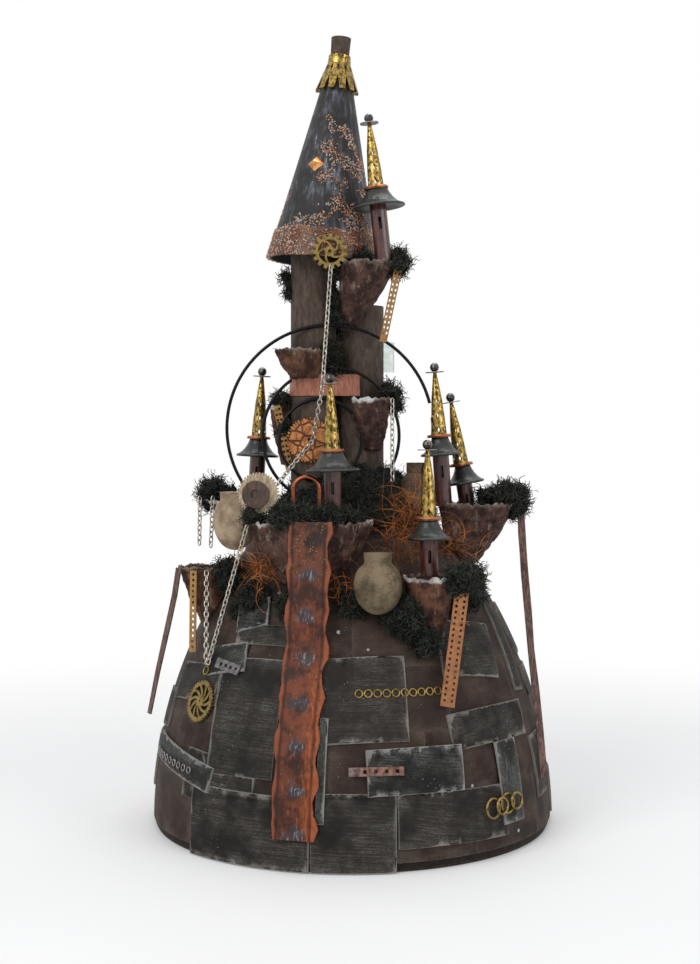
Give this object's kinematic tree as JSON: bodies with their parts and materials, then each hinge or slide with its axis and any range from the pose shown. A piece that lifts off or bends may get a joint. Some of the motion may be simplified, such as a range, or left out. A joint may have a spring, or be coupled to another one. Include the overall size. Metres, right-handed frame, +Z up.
{
  "type": "cardboard castle",
  "caption": "Ornamental steampunk castle of folded card: a plated dome with roll towers, a leaning spire, pulp cups, small towers, gears and chains.",
  "frame": {"origin": "centre of the round base disc's underside, on the surface the castle stands on", "axes": "+Z up along the dome's axis to the spire, -Y towards the front with the wide banner, +X to the viewer's right"},
  "size_m": [0.3801, 0.3782, 0.7341],
  "materials": {
    "card_grey": "matt",
    "card_brown": "matt, dry-brushed",
    "card_black": "satin, dry-brushed silver",
    "card_taupe": "matt",
    "card_copper": "satin",
    "card_rust": "matt",
    "pulp": "rough moulded pulp",
    "bead_copper": "small glossy beads",
    "dark_bead": "glossy",
    "painted_wood": "glossy paint",
    "pale_wood": "bare",
    "old_brass": "antique",
    "copper": "polished copper colour",
    "thin_silver": "antique silver",
    "chain_steel": "antique silver",
    "black_wire": "satin black",
    "gourd": "dried shell",
    "vial": "clear",
    "moss": "dyed fibre"
  },
  "bodies": {
    "root": {"base_disc": "card_grey", "dome_shell": "card_brown", "deck": "card_brown", "plates_first": "card_brown", "plates_second": "card_black", "plates_third": "card_black", "keep_left_roll": "card_taupe", "keep_right": "card_taupe", "keep_rear": "card_taupe", "upper_post": "card_taupe", "roll_collar": "card_copper", "spire_cone": "card_black", "spire_bead_band": "bead_copper", "spire_cap": "card_taupe", "spire_fringe": "old_brass", "spire_stud": "copper", "tower_shafts": "painted_wood", "tower_roofs": "card_black", "tower_rings": "copper", "tower_laces": "old_brass", "tower_discs": "thin_silver", "tower_beads": "dark_bead", "cup_under_spire": "pulp", "cup_left_roll": "pulp", "cup_right_roll": "pulp", "cup_left_side": "pulp", "cup_front": "pulp", "cup_left_low": "pulp", "cup_left_high": "pulp", "cup_front_right": "pulp", "cup_right": "pulp", "gear_brass": "old_brass", "gear_clock": "copper", "gear_wood": "pale_wood", "gear_wood_hub": "painted_wood", "pendant_gear": "old_brass", "pendant_ring": "old_brass", "gourds": "gourd", "squat_pot": "gourd", "wire_hoops": "black_wire", "banner_front": "card_rust", "side_banners": "card_rust", "connector_bars": "thin_silver", "brass_link_row": "old_brass", "ring_row": "thin_silver", "brass_loops": "old_brass", "gold_strips": "old_brass", "copper_strip": "copper", "copper_arch": "copper", "glass_vial": "vial", "chain_spire": "chain_steel", "chain_pendant": "chain_steel", "chain_strands": "chain_steel", "moss_mound": "moss", "moss_upper": "moss", "moss_middle": "moss", "moss_lower": "moss"}
  },
  "joints": []
}
